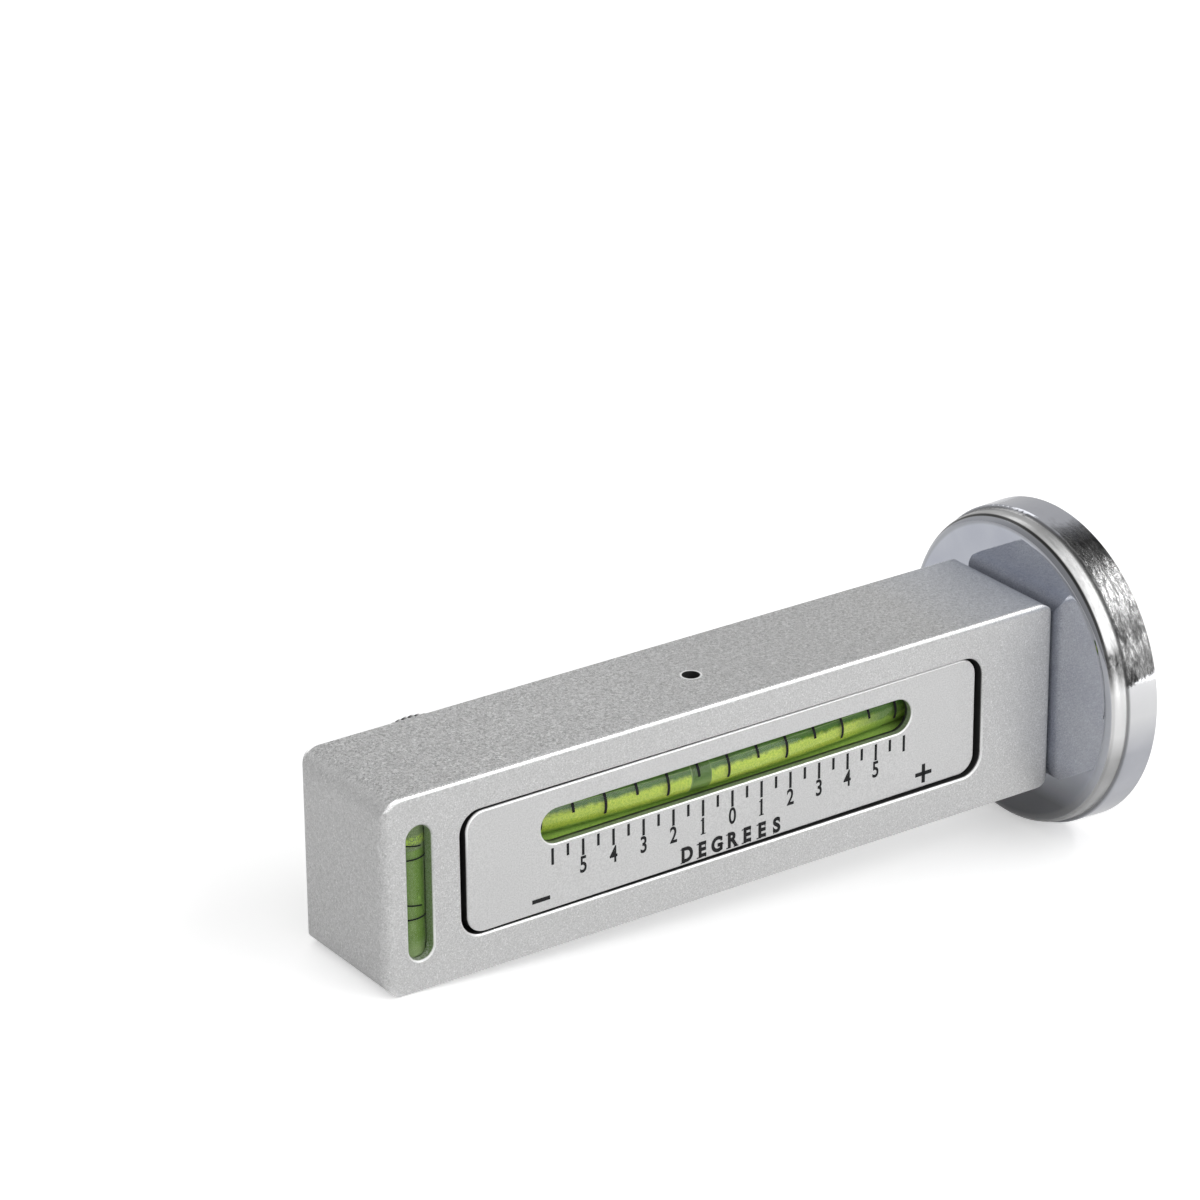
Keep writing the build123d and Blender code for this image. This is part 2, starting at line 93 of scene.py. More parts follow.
INK_DEPTH = 0.02 * MM
HAIR = 0.02 * MM                    # keeps apart two faces that would otherwise lie in one place
RING_LIFT = 0.03 * MM               # ink of the rings, off their tube
SMOOTH_BELOW = radians(40)          # edges flatter than this are shaded smooth

ROCKER = Matrix.Translation(PIVOT) @ Matrix.Rotation(REST_TILT, 4, "Z")


# ---- workshop helpers ------------------------------------------------------------------------
def clear_bench():
    """Leave edit mode and let go of every piece."""
    if bpy.context.object and bpy.context.object.mode != "OBJECT":
        bpy.ops.object.mode_set(mode="OBJECT")
    bpy.ops.object.select_all(action="DESELECT")


def take_up(piece):
    """Select this piece alone."""
    clear_bench()
    piece.select_set(True)
    bpy.context.view_layer.objects.active = piece


def name_piece(name):
    """Name the piece just made."""
    piece = bpy.context.object
    piece.name = name
    piece.data.name = name
    return piece


def set_down(piece, place=None):
    """Put the piece's place into its mesh."""
    take_up(piece)
    bpy.ops.object.transform_apply(location=True, rotation=True, scale=True)
    if place is not None:
        piece.data.transform(place)
    return piece


def join_up(name, parts):
    """Make one piece of several."""
    clear_bench()
    for part in parts:
        part.select_set(True)
    bpy.context.view_layer.objects.active = parts[0]
    if len(parts) > 1:
        bpy.ops.object.join()
    return name_piece(name)


def outfit(piece, body, finish, slot, *replaced):
    """Give the piece its finish, its body and the CAD nodes that it stands for."""
    piece.data.materials.clear()
    piece.data.materials.append(finish)
    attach(piece, body)
    if replaced:
        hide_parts(*replaced)
    return piece


# ---- finishes --------------------------------------------------------------------------------
class Finish:
    """A material under construction."""

    def __init__(self, name):
        self.material = bpy.data.materials.new(name)
        self.material.use_nodes = True
        self.tree = self.material.node_tree
        self.shader = self.tree.nodes["Principled BSDF"]
        self.where = self.add("ShaderNodeTexCoord").outputs["Object"]

    def add(self, kind, settings=(), **inputs):
        node = self.tree.nodes.new(kind)
        for key, value in dict(settings).items():
            setattr(node, key, value)
        for key, value in inputs.items():
            self.feed(node.inputs[key.replace("_", " ")], value)
        return node

    def feed(self, socket, value):
        if isinstance(value, bpy.types.NodeSocket):
            self.tree.links.new(value, socket)
        else:
            socket.default_value = value

    def set(self, **inputs):
        for key, value in inputs.items():
            self.feed(self.shader.inputs[key.replace("_", " ")], value)

    def noise(self, size, detail=2.0, where=None, roughness=0.5, twist=0.0):
        """Noise with features of that size in metres."""
        return self.add(
            "ShaderNodeTexNoise", Vector=where or self.where, Scale=1 / size, Detail=detail,
            Roughness=roughness, Distortion=twist,
        ).outputs["Fac"]

    def seen_from(self, spot, turn=0.0):
        """Coordinates x, y, z measured from a spot, turned about Z."""
        moved = self.add("ShaderNodeMapping", {"vector_type": "TEXTURE"}, Vector=self.where, Location=spot)
        moved.inputs["Rotation"].default_value = (0, 0, turn)
        return self.add("ShaderNodeSeparateXYZ", Vector=moved.outputs[0]).outputs

    def times(self, first, *others):
        for other in others:
            first = self.math("MULTIPLY", first, other)
        return first

    def unless(self, value):
        """1 where the value is 0, and 0 where it is 1."""
        return self.math("SUBTRACT", 1.0, value)

    def span(self, value, centre, half, soft):
        """1 within half of the centre, falling to 0 over soft."""
        off = self.math("ABSOLUTE", self.math("SUBTRACT", value, centre))
        return self.between(off, half + soft, half)

    def outline(self, x, z, centre, half, corner):
        """Distance outside a round-cornered outline across X and Z, less than 0 inside it."""
        over = []
        for value, middle, size in ((x, centre[0], half[0]), (z, centre[1], half[1])):
            off = self.math("ABSOLUTE", self.math("SUBTRACT", value, middle))
            over.append(self.math("SUBTRACT", off, size - corner))
        outside = self.reach(self.math("MAXIMUM", over[0], 0.0), self.math("MAXIMUM", over[1], 0.0))
        inside = self.math("MINIMUM", self.math("MAXIMUM", over[0], over[1]), 0.0)
        return self.math("SUBTRACT", self.math("ADD", outside, inside), corner)

    def reach(self, first, second):
        """Length of the two sides' diagonal."""
        return self.math("SQRT", self.math("ADD", self.times(first, first), self.times(second, second)))

    def math(self, operation, first, second=0.0, clamp=False):
        node = self.add("ShaderNodeMath", {"operation": operation, "use_clamp": clamp})
        self.feed(node.inputs[0], first)
        self.feed(node.inputs[1], second)
        return node.outputs[0]

    def between(self, value, low, high, to_low=0.0, to_high=1.0):
        """Run from to_low to to_high while the value goes from low to high, and hold beyond."""
        node = self.add("ShaderNodeMapRange", Value=value)
        for socket, number in zip(node.inputs[1:5], (low, high, to_low, to_high)):
            socket.default_value = number
        return node.outputs["Result"]

    def blend(self, factor, first, second):
        """The first colour at 0, the second at 1."""
        node = self.add("ShaderNodeMix", {"data_type": "RGBA"})
        self.feed(node.inputs[0], factor)
        self.feed(node.inputs[6], first)
        self.feed(node.inputs[7], second)
        return node.outputs[2]

    def bump(self, height, distance, strength=1.0, under=None):
        node = self.add("ShaderNodeBump", Height=height, Distance=distance, Strength=strength)
        if under is not None:
            self.feed(node.inputs["Normal"], under)
        return node.outputs["Normal"]


def grey(value):
    return (value, value, value, 1)


def blasted_silver():
    """The bar: blasted silver metal, coarser on top, its long edges smoother and painted with a bright
    highlight.
    """
    f = Finish("blasted_silver")
    x, y, z = f.seen_from((0, 0, 0))
    out_y = f.math("ABSOLUTE", y)
    top = f.between(z, 16.6 * MM, 17.7 * MM)
    outer_end = f.between(x, -146.0 * MM, -148.5 * MM)
    coarse = f.math("MAXIMUM", top, f.times(outer_end, 0.35))
    grain = f.between(f.noise(0.28 * MM, 2), 0.3, 0.7)
    worms = f.between(f.noise(0.5 * MM, 3, roughness=0.62, twist=1.2), 0.34, 0.66)
    # bright specks in the grain: painted glints
    painted_glints = f.between(f.noise(0.28 * MM, 1), 0.66, 0.74)
    cloud = f.between(f.noise(6 * MM, 4), 0.3, 0.7)
    dust = f.between(f.noise(0.2 * MM, 1), 0.3, 0.7)
    fine = f.blend(f.math("ADD", f.times(grain, 0.5), f.times(dust, 0.5)), grey(0.42), grey(0.76))
    rough = f.blend(worms, grey(0.32), grey(0.90))
    tone = f.blend(coarse, fine, rough)
    tone = f.blend(f.times(painted_glints, f.between(coarse, 0, 1, 0.35, 0.9)), tone, grey(1.0))
    tone = f.blend(f.times(cloud, 0.15), tone, grey(0.50))
    # darker past the middle of the top, as painted shade, and cooler towards the magnet, as a painted bluish
    # reflection of the magnet
    tone = f.blend(f.times(f.between(x, -115 * MM, -70 * MM), top, 0.32), tone, grey(0.40))
    tone = f.blend(f.times(f.between(x, -34 * MM, -12 * MM), top, 0.6), tone, (0.48, 0.52, 0.61, 1))
    # painted highlights: a bright line along the long edges, round the outer corners too, and on the
    # openings' rims
    up = f.math("ABSOLUTE", z)
    corner_x, corner_z = -145.4 * MM, 13.9 * MM     # middle of the end corners' rounding
    off_end = f.math("MAXIMUM", f.math("SUBTRACT", corner_x, x), 0.0)
    off_side = f.math("MAXIMUM", f.math("SUBTRACT", up, corner_z), 0.0)
    lift = f.math("ADD", f.reach(off_end, off_side), corner_z)
    edge = f.between(f.math("ADD", out_y, lift), 30.08 * MM, 30.19 * MM)
    edge = f.times(edge, f.between(z, -2 * MM, 2 * MM, 0.25, 1.0))
    tone = f.blend(f.times(edge, 0.9), tone, grey(1.0))
    from_opening = f.outline(x, z, OPENING, OPENING_HALF, OPENING_CORNER)
    from_slot = f.outline(x, z, (LEVEL_X, 0), LEVEL_SLOT_HALF, LEVEL_SLOT_CORNER)
    from_window = f.outline(x, z, WINDOW, WINDOW_HALF, OPENING_CORNER)
    front = f.between(y, 1 * MM, -1 * MM)
    back = f.unless(front)
    from_rim = f.math("ADD", f.times(from_opening, front), f.times(from_window, back))
    broken = f.math("MINIMUM", f.math("ABSOLUTE", from_rim), f.math("ABSOLUTE", from_slot))
    on_face = f.between(out_y, FACE_Y - 0.4 * MM, FACE_Y - 0.3 * MM)
    # painted highlight on the rims, stronger on the lower ones
    rims = f.times(f.between(broken, 0.34 * MM, 0.24 * MM), on_face)
    tone = f.blend(f.times(rims, f.between(z, 4 * MM, -9 * MM, 0.1, 0.75)), tone, grey(1.0))
    # dark inside the opening and down the pin's hole, as painted shade, and a painted highlight on the
    # hole's rim
    deep = f.between(out_y, FACE_Y - 0.25 * MM, FACE_Y - 0.6 * MM)
    pocket = f.times(deep, f.between(from_opening, 0.1 * MM, 0.0))
    from_pin = f.reach(f.math("SUBTRACT", x, PIVOT.x), f.math("SUBTRACT", y, PIVOT.y))
    rim = f.times(f.between(from_pin, 2.0 * MM, 1.85 * MM), top)
    hole = f.times(f.between(from_pin, 1.62 * MM, 1.55 * MM), f.between(z, 10 * MM, 10.1 * MM))
    tone = f.blend(f.times(rim, 0.8), tone, grey(1.0))
    dark = f.math("MAXIMUM", pocket, hole)
    tone = f.blend(dark, tone, grey(0.012))
    # painted green light, thrown by the cross vials, on the walls of their slots
    speckled_up = f.math("ADD", up, f.between(grain, 0, 1, -1.5 * MM, 1.5 * MM))
    by_level = f.times(
        f.between(from_slot, 0.1 * MM, 0.0),
        f.between(out_y, FACE_Y - 0.05 * MM, FACE_Y - 0.5 * MM),
        f.between(speckled_up, 12.8 * MM, 10.8 * MM, 0.25, 1.0),
    )
    green = f.blend(grain, (0.11, 0.20, 0.05, 1), (0.36, 0.46, 0.28, 1))
    tone = f.blend(by_level, tone, green)
    dull_part = f.math("MAXIMUM", dark, by_level)
    f.set(Base_Color=tone, Metallic=f.times(f.unless(dull_part), 0.5))
    gloss = f.between(grain, 0, 1, 0.34, 0.46)
    f.set(Roughness=f.math("SUBTRACT", f.math("ADD", gloss, f.times(dull_part, 0.3)), f.times(edge, 0.14)))
    blast = f.bump(f.noise(0.25 * MM, 2), 0.045 * MM, f.times(f.unless(edge), 0.7))
    outer = f.between(x, -90 * MM, -145 * MM, 0.8, 1.5)
    relief = f.times(f.between(coarse, 0, 1, 0.05, 1.0), f.between(edge, 0, 1, 1.0, 0.06))
    f.set(Normal=f.bump(worms, f.times(outer, 0.10 * MM), relief, blast))
    return f.material


def satin_plate(name, side, middle, half, vial_x, slot_half):
    """A scale plate: fine satin silver with painted highlights on its rims, painted shade down its sides,
    and painted green light on its slot's walls.
    """
    f = Finish(name)
    x, y, z = f.seen_from(PIVOT, REST_TILT)
    face = abs(CAMBER_FACE if side < 0 else CASTER_FACE)
    out_y = f.times(y, side)
    grain = f.between(f.noise(0.26 * MM, 2), 0.3, 0.7)
    cloud = f.between(f.noise(8 * MM, 3), 0.3, 0.7)
    tone = f.blend(grain, grey(0.55), grey(0.70))
    tone = f.blend(f.times(cloud, 0.12), tone, grey(0.55))
    slot_half_height, slot_corner = 3.2 * MM, 3.19 * MM
    from_rim = f.outline(x, z, (middle, SCALE_Z), half, PLATE_CORNER)
    from_slot = f.outline(x, z, (vial_x, VIAL_Z), (slot_half, slot_half_height), slot_corner)
    # painted highlights: on the plate's upper rim and on the slot's lower rim
    upper = f.between(z, 3 * MM, 9 * MM, 0.12, 1.0)
    upper_rim = f.times(f.between(from_rim, -0.34 * MM, -0.24 * MM), upper)
    lower = f.between(z, VIAL_Z + 1 * MM, VIAL_Z - 1 * MM, 0.1, 0.9)
    slot_rim = f.times(f.between(from_slot, 0.30 * MM, 0.20 * MM), lower)
    tone = f.blend(f.math("MAXIMUM", upper_rim, slot_rim), tone, grey(1.0))
    # painted shade down the plate's sides, and a painted shadow deep in the slot
    below = f.between(out_y, face - 0.22 * MM, face - 0.45 * MM)
    tone = f.blend(below, tone, grey(0.02))
    # painted green light on the slot's walls
    walls = f.times(
        f.between(out_y, face - 0.12 * MM, face - 0.3 * MM),
        f.between(from_slot, 0.25 * MM, 0.15 * MM),
        f.between(out_y, face - 1.3 * MM, face - 1.1 * MM),
    )
    green = f.blend(grain, (0.15, 0.20, 0.11, 1), (0.30, 0.36, 0.24, 1))
    tone = f.blend(walls, tone, green)
    f.set(Base_Color=tone, Metallic=f.times(f.unless(below), 0.45))
    f.set(Roughness=f.between(grain, 0, 1, 0.36, 0.44))
    f.set(Normal=f.bump(grain, 0.015 * MM, 0.5))
    return f.material


def rocker_metal():
    """The rocker block: metal kept near-black as painted shade, with painted green light in the vials'
    grooves.
    """
    f = Finish("rocker_metal")
    x, y, z = f.seen_from(PIVOT, REST_TILT)
    grain = f.between(f.noise(0.3 * MM, 3), 0.3, 0.7)
    # painted shade: the block near-black
    metal = f.blend(grain, grey(0.012), grey(0.03))
    front = f.between(y, 1 * MM, -1 * MM)
    behind = f.unless(front)
    along_camber = f.times(f.span(x, 0, 42.5 * MM, 0.5 * MM), front)
    along_caster = f.times(f.span(x, CASTER_X, 32.5 * MM, 0.5 * MM), behind)
    # painted green light in the vials' grooves
    groove = f.times(
        f.span(z, VIAL_Z, 3.85 * MM, 0.1 * MM),
        f.between(f.math("ABSOLUTE", y), 1.5 * MM, 3.5 * MM),
        f.math("ADD", along_camber, along_caster),
    )
    green = f.blend(grain, (0.30, 0.48, 0.09, 1), (0.46, 0.70, 0.16, 1))
    f.set(Base_Color=f.blend(groove, metal, green), Metallic=0.0)
    f.set(Roughness=f.between(grain, 0, 1, 0.55, 0.7), Normal=f.bump(grain, 0.03 * MM, 0.5))
    return f.material


def bright_nickel():
    """The magnet's cup: bluish plating, mirror flat on its back, pitted round its side, with streaked dark
    and bright painted reflections and painted highlights.
    """
    f = Finish("bright_nickel")
    x, y, z = f.seen_from((0, 0, 0))
    cloud = f.between(f.noise(9 * MM, 3), 0.35, 0.65)
    from_axis = f.reach(y, z)
    low = f.between(z, -13 * MM, -29 * MM)
    back = f.blend(cloud, (0.52, 0.54, 0.61, 1), (0.58, 0.60, 0.66, 1))
    # painted dark reflection: the back's flat darker low down
    back = f.blend(f.times(f.between(z, -12 * MM, -21 * MM), 0.85), back, grey(0.10))
    # round the side, 0 on top and 90 at the camber face
    around = f.math("ARCTAN2", f.times(y, -1.0), z)
    turn = f.times(around, 180 / pi)
    # less than the side's true radius, so that the marks are long round the side
    unrolled = f.add("ShaderNodeCombineXYZ", X=f.times(around, 11 * MM), Y=x, Z=from_axis).outputs[0]
    pits = f.between(f.noise(0.6 * MM, 5, where=unrolled, roughness=0.72, twist=0.4), 0.40, 0.62)
    streaks = f.between(f.noise(2.2 * MM, 3, where=unrolled, roughness=0.6), 0.38, 0.62)
    ragged = f.math("ADD", turn, f.between(streaks, 0, 1, -3.5, 3.5))
    nibbled = f.math("ADD", turn, f.between(pits, 0, 1, -0.7, 0.7))
    frayed = f.math("ADD", nibbled, f.between(x, MAGNET_STEP, 0, 0, 3.5))
    # the pitted band round the side: its dark and bright mottle is painted reflections, brighter where
    # painted light falls
    worn = f.times(f.between(ragged, 10, 22), f.between(frayed, 78.5, 77.5))
    lit = f.math("MAXIMUM", f.span(ragged, 43, 6, 11), f.times(f.span(ragged, 65, 1.5, 4), 0.9))
    level = f.between(lit, 0, 1, 0.08, 0.28)
    contrast = f.between(lit, 0, 1, 0.35, 1.0)
    speckled = f.math("ADD", level, f.times(f.between(pits, 0, 1, -0.14, 0.34), contrast))
    speckled = f.math("ADD", speckled, f.between(streaks, 0, 1, -0.08, 0.12), True)
    pitted = f.blend(speckled, grey(0.04), grey(0.95))
    smooth = f.blend(cloud, (0.46, 0.47, 0.51, 1), (0.52, 0.53, 0.57, 1))
    # painted highlight: a pale band round the side; painted dark reflection towards the bottom
    smooth = f.blend(f.times(f.span(turn, 84, 6, 14), 0.7), smooth, grey(0.85))
    smooth = f.blend(f.times(low, 0.3), smooth, grey(0.25))
    # the shoulder's rounding: 0 at the back's flat, 90 at the side
    outward = f.math("SUBTRACT", from_axis, NECK_R - NECK_EDGE)
    backward = f.math("SUBTRACT", MAGNET_BACK + NECK_EDGE, x)
    bend = f.times(f.math("ARCTAN2", outward, backward), 180 / pi)
    on_side = f.between(bend, 84, 90)
    tone = f.blend(on_side, smooth, f.blend(worn, smooth, pitted))
    # painted reflections: a dark line round the flat, a white streak on the right above it as a painted
    # highlight, darker then paler below
    behind_step = f.between(x, MAGNET_STEP + 0.1 * MM, MAGNET_STEP - 0.2 * MM)
    neck = f.times(f.between(bend, 58, 66), behind_step)
    shoulder = f.between(bend, 40, 47)
    bright = f.times(f.between(turn, 10, 26), f.between(turn, 66, 60))
    gloom = f.times(f.between(turn, 60, 66), f.between(turn, 80, 76))
    rounding = f.blend(cloud, grey(0.42), grey(0.52))
    # the shoulder's rounding: painted dark reflection, a painted highlight band, darker towards the bottom
    rounding = f.blend(gloom, rounding, f.blend(pits, grey(0.06), grey(0.30)))
    rounding = f.blend(f.times(f.span(turn, 88, 8, 10), 0.8), rounding, grey(0.9))
    rounding = f.blend(f.times(low, 0.5), rounding, grey(0.25))
    past_step = f.between(x, MAGNET_STEP - 0.2 * MM, MAGNET_STEP)
    tone = f.blend(f.times(shoulder, f.unless(past_step)), tone, rounding)
    outline = f.times(
        f.span(bend, 52, 5, 6),
        f.between(turn, 80, 60, 0.15, 1.0),
        f.between(x, -7.7 * MM, -7.9 * MM),
    )
    tone = f.blend(outline, tone, grey(0.05))
    streak = f.times(neck, bright)
    tone = f.blend(streak, tone, f.blend(pits, grey(0.8), grey(1.0)))
    # painted dark reflection: the flat darker towards its edge
    flat = f.blend(f.between(bend, 2, 14, 0, 0.45), back, grey(0.25))
    tone = f.blend(f.between(bend, 47, 40), tone, flat)
    # painted shade: a dark line in the step round the side
    step = f.span(x, MAGNET_STEP - 0.05 * MM, 0.10 * MM, 0.25 * MM)
    step = f.times(step, f.between(from_axis, 28.0 * MM, 28.5 * MM))
    tone = f.blend(f.times(step, 0.65), tone, grey(0.10))
    # plain inside the cup
    inside = f.times(f.between(from_axis, 27.1 * MM, 27.0 * MM), f.between(x, -9 * MM, -8 * MM))
    tone = f.blend(inside, tone, grey(0.45))
    f.set(Base_Color=tone, Metallic=f.between(streak, 0, 1, 1.0, 0.35))
    gloss = f.math("ADD", 0.05, f.times(f.unless(pits), worn, on_side, 0.22))
    f.set(Roughness=f.math("ADD", gloss, f.times(shoulder, behind_step, 0.25)))
    orange_peel = f.bump(f.noise(0.9 * MM, 3), 0.02 * MM, 0.12)
    pitting = f.times(on_side, f.between(worn, 0, 1, 0.04, 0.30))
    f.set(Normal=f.bump(pits, 0.10 * MM, pitting, orange_peel))
    return f.material


def ground_steel():
    f = Finish("ground_steel")
    streak = f.between(f.noise(0.4 * MM, 3), 0.3, 0.7)
    f.set(Base_Color=f.blend(streak, grey(0.484), grey(0.55)), Metallic=1.0)
    f.set(Roughness=f.between(streak, 0, 1, 0.3, 0.42))
    f.set(Normal=f.bump(f.noise(0.2 * MM, 2), 0.01 * MM, 0.4))
    return f.material


def knurled_silver():
    """The knob: turned face, with the flutes of its rim darker."""
    f = Finish("knurled_silver")
    x, _, z = f.seen_from((KNOB_X, 0, 0))
    from_axis = f.reach(x, z)
    radial = f.add("ShaderNodeCombineXYZ", X=from_axis).outputs[0]
    rings = f.between(f.noise(0.3 * MM, 2, where=radial), 0.3, 0.7)
    tone = f.blend(rings, grey(0.50), grey(0.64))
    flutes = f.times(f.between(from_axis, 12.36 * MM, 12.1 * MM), f.between(from_axis, 11.4 * MM, 11.7 * MM))
    tone = f.blend(flutes, tone, grey(0.05))
    f.set(Base_Color=tone, Metallic=0.8, Roughness=f.between(rings, 0, 1, 0.28, 0.4))
    f.set(Normal=f.bump(rings, 0.01 * MM, 0.3))
    return f.material


def dull(name, colour, roughness, metallic=0.0):
    """A plain finish with fine specks, for the small parts."""
    f = Finish(name)
    speck = f.between(f.noise(0.4 * MM, 3), 0.3, 0.7)
    darker = tuple(c * 0.75 for c in colour) + (1,)
    f.set(Base_Color=f.blend(speck, darker, tuple(colour) + (1,)), Metallic=metallic)
    f.set(Roughness=f.between(speck, 0, 1, roughness, min(1.0, roughness + 0.15)))
    f.set(Normal=f.bump(f.noise(0.3 * MM, 2), 0.01 * MM, 0.5))
    return f.material


def clear_acrylic(name, bending):
    """A clear tube over the spirit, bending light that much."""
    f = Finish(name)
    f.set(Base_Color=(0.97, 1.0, 0.93, 1), Transmission_Weight=1.0)
    f.set(IOR=bending)
    f.set(Roughness=f.between(f.noise(3 * MM, 2), 0.3, 0.7, 0.0, 0.02))
    return f.material


def spirit(name, side, bend):
    """Yellow-green spirit of a curved vial, painted with light and shade: painted shade towards its top, a
    painted glow along its crest.
    """
    f = Finish(name)
    centre = ROCKER @ bend_centre(side)
    x, y, z = f.seen_from((centre.x, centre.y, VIAL_Z), REST_TILT)
    crest = f.math("SUBTRACT", f.reach(x, y), bend)
    turn = f.times(f.math("ARCTAN2", z, crest), 180 / pi)
    mottle = f.noise(0.9 * MM, 4, roughness=0.65)
    ragged = f.math("ADD", turn, f.between(mottle, 0.3, 0.7, -5, 5))
    along = f.times(x, -side)
    grain = f.between(f.noise(0.28 * MM, 3, roughness=0.6), 0.32, 0.68)
    dark = f.blend(grain, (0.10, 0.22, 0.045, 1), (0.15, 0.31, 0.075, 1))
    glow = f.blend(grain, (0.55, 0.76, 0.10, 1), (0.90, 1.0, 0.20, 1))
    low = f.blend(grain, (0.32, 0.52, 0.10, 1), (0.50, 0.74, 0.17, 1))
    # painted light and shade in bands round the vial, by how far round it a point lies
    tone = f.blend(f.between(ragged, -14, -24), dark, low)
    lit = f.times(f.between(ragged, 19, 5), f.between(ragged, -62, -44))
    # painted shade: the glow dimmed towards one end
    end_shade = f.between(along, 27 * MM, 34 * MM, 1.0, 0.12)
    tone = f.blend(f.times(lit, end_shade), tone, glow)
    tone = f.blend(f.span(turn, 33, 1.0, 1.2), tone, (0.30, 0.48, 0.16, 1))
    # a painted glint: a broken pale line low down
    glint = f.times(f.span(turn, -52, 0.5, 0.8), f.between(mottle, 0.45, 0.55), 0.7)
    tone = f.blend(glint, tone, (0.6, 0.75, 0.4, 1))
    f.set(Base_Color=tone, Roughness=f.between(mottle, 0.3, 0.7, 0.4, 0.6))
    f.set(Specular_IOR_Level=0.1)
    f.set(Normal=f.bump(mottle, 0.04 * MM, 0.4))
    return f.material


def level_spirit():
    """Spirit of the cross vials: mid green with a darker stripe of painted shade, and painted light towards
    its lower end.
    """
    f = Finish("level_spirit")
    x, y, z = f.seen_from((LEVEL_X, 0, 0))
    forward = f.math("SUBTRACT", f.math("ABSOLUTE", y), LEVEL_Y)
    outward = f.times(x, f.math("SIGN", f.times(y, -1.0)))
    turn = f.times(f.math("ARCTAN2", outward, forward), 180 / pi)
    grain = f.between(f.noise(0.26 * MM, 3, roughness=0.6), 0.3, 0.7)
    light = f.blend(grain, (0.155, 0.245, 0.08, 1), (0.25, 0.345, 0.15, 1))
    deep = f.blend(grain, (0.12, 0.21, 0.045, 1), (0.19, 0.30, 0.09, 1))
    # painted shade: a darker stripe round part of the vial; painted light: paler towards its lower end
    tone = f.blend(f.times(f.between(turn, -6, 6), f.between(turn, 46, 30)), light, deep)
    tone = f.blend(f.between(z, -9.0 * MM, -12.5 * MM), tone, (0.36, 0.46, 0.25, 1))
    f.set(Base_Color=tone, Roughness=f.between(grain, 0, 1, 0.4, 0.6))
    f.set(Specular_IOR_Level=0.1)
    f.set(Normal=f.bump(grain, 0.03 * MM, 0.4))
    return f.material


def bubble_skin(name, spot, upright):
    """What shows at a bubble: the spirit behind it in painted shade, with a painted highlight patch or
    painted highlights at its ends.
    """
    f = Finish(name)
    x, _, z = f.seen_from(spot, 0 if upright else REST_TILT)
    grain = f.between(f.noise(0.3 * MM, 3), 0.3, 0.7)
    if upright:
        tone = f.blend(grain, (0.14, 0.19, 0.10, 1), (0.24, 0.30, 0.17, 1))
        # painted highlight: a pale patch low in the bubble
        patch = f.times(f.span(z, -0.7 * MM, 0.5 * MM, 0.5 * MM), f.between(grain, 0.2, 0.7))
        tone = f.blend(patch, tone, (0.40, 0.55, 0.11, 1))
    else:
        tone = f.blend(grain, (0.10, 0.20, 0.04, 1), (0.16, 0.30, 0.07, 1))
        # painted light: paler low down, and painted highlights at the bubble's ends
        tone = f.blend(f.between(z, -0.2 * MM, -1.1 * MM), tone, (0.26, 0.42, 0.10, 1))
        meniscus_highlight = f.span(f.math("ABSOLUTE", x), 2.05 * MM, 0.1 * MM, 0.15 * MM)
        tone = f.blend(meniscus_highlight, tone, (0.30, 0.45, 0.16, 1))
    f.set(Base_Color=tone, Roughness=f.between(grain, 0, 1, 0.4, 0.55))
    f.set(Specular_IOR_Level=0.1)
    f.set(Normal=f.bump(f.noise(1.0 * MM, 1), 0.01 * MM, 0.3))
    return f.material


def printing_ink():
    """Near-black ink of the scales and the rings, worn a little."""
    f = Finish("printing_ink")
    worn = f.between(f.noise(0.15 * MM, 3), 0.35, 0.75)
    f.set(Base_Color=f.blend(worn, (0.006, 0.006, 0.007, 1), (0.03, 0.03, 0.031, 1)))
    f.set(Specular_IOR_Level=0.15)
    f.set(Roughness=f.between(worn, 0, 1, 0.45, 0.65))
    return f.material


def bend_centre(side):
    """Centre of a curved vial's bend in the rocker's own measures: side -1 camber, 1 caster."""
    if side < 0:
        return Vector((0, CAMBER_FACE + CREST_TO_AXIS + CAMBER_BEND, 0))
    return Vector((CASTER_X, CASTER_FACE - CREST_TO_AXIS - CASTER_BEND, 0))


def bubble_place(side, at):
    """Stands a piece made about the origin, along X with -Y out, at a place along a curved vial."""
    bend = CAMBER_BEND if side < 0 else CASTER_BEND
    place = Matrix.Rotation(at / bend, 4, "Z") @ Matrix.Translation((0, -bend, VIAL_Z))
    if side > 0:
        place = Matrix.Rotation(pi, 4, "Z") @ place
    return ROCKER @ Matrix.Translation(bend_centre(side)) @ place


SILVER = blasted_silver()
CAMBER_PLATE = satin_plate(
    "camber_plate_satin", side=-1, middle=-0.3 * MM, half=(53.2 * MM, 11 * MM), vial_x=0, slot_half=38.8 * MM
)
CASTER_PLATE = satin_plate(
    "caster_plate_satin", side=1, middle=CASTER_X, half=(34.2 * MM, 10.4 * MM), vial_x=CASTER_X,
    slot_half=31 * MM,
)
NICKEL = bright_nickel()
ROCKER_METAL = rocker_metal()
INK = printing_ink()
ACRYLIC = clear_acrylic("clear_acrylic", 1.47)
WET_ACRYLIC = clear_acrylic("wet_acrylic", 1.1)
CAMBER_SPIRIT = spirit("camber_spirit", -1, CAMBER_BEND)
CASTER_SPIRIT = spirit("caster_spirit", 1, CASTER_BEND)
LEVEL_SPIRIT = level_spirit()
STEEL = ground_steel()
KNOB_METAL = knurled_silver()
BRASS = dull("turned_brass", (0.72, 0.52, 0.22), 0.25, 1.0)
FERRITE = dull("dark_ferrite", (0.06, 0.06, 0.065), 0.6)
RESIN = dull("cast_resin", (0.02, 0.02, 0.023), 0.25)
RUBBERY = dull("vial_plug", (0.05, 0.09, 0.02), 0.5)
COVER = dull("bore_cover", (0.20, 0.20, 0.21), 0.5)
PAD = dull("thrust_pad", (0.03, 0.03, 0.03), 0.45)

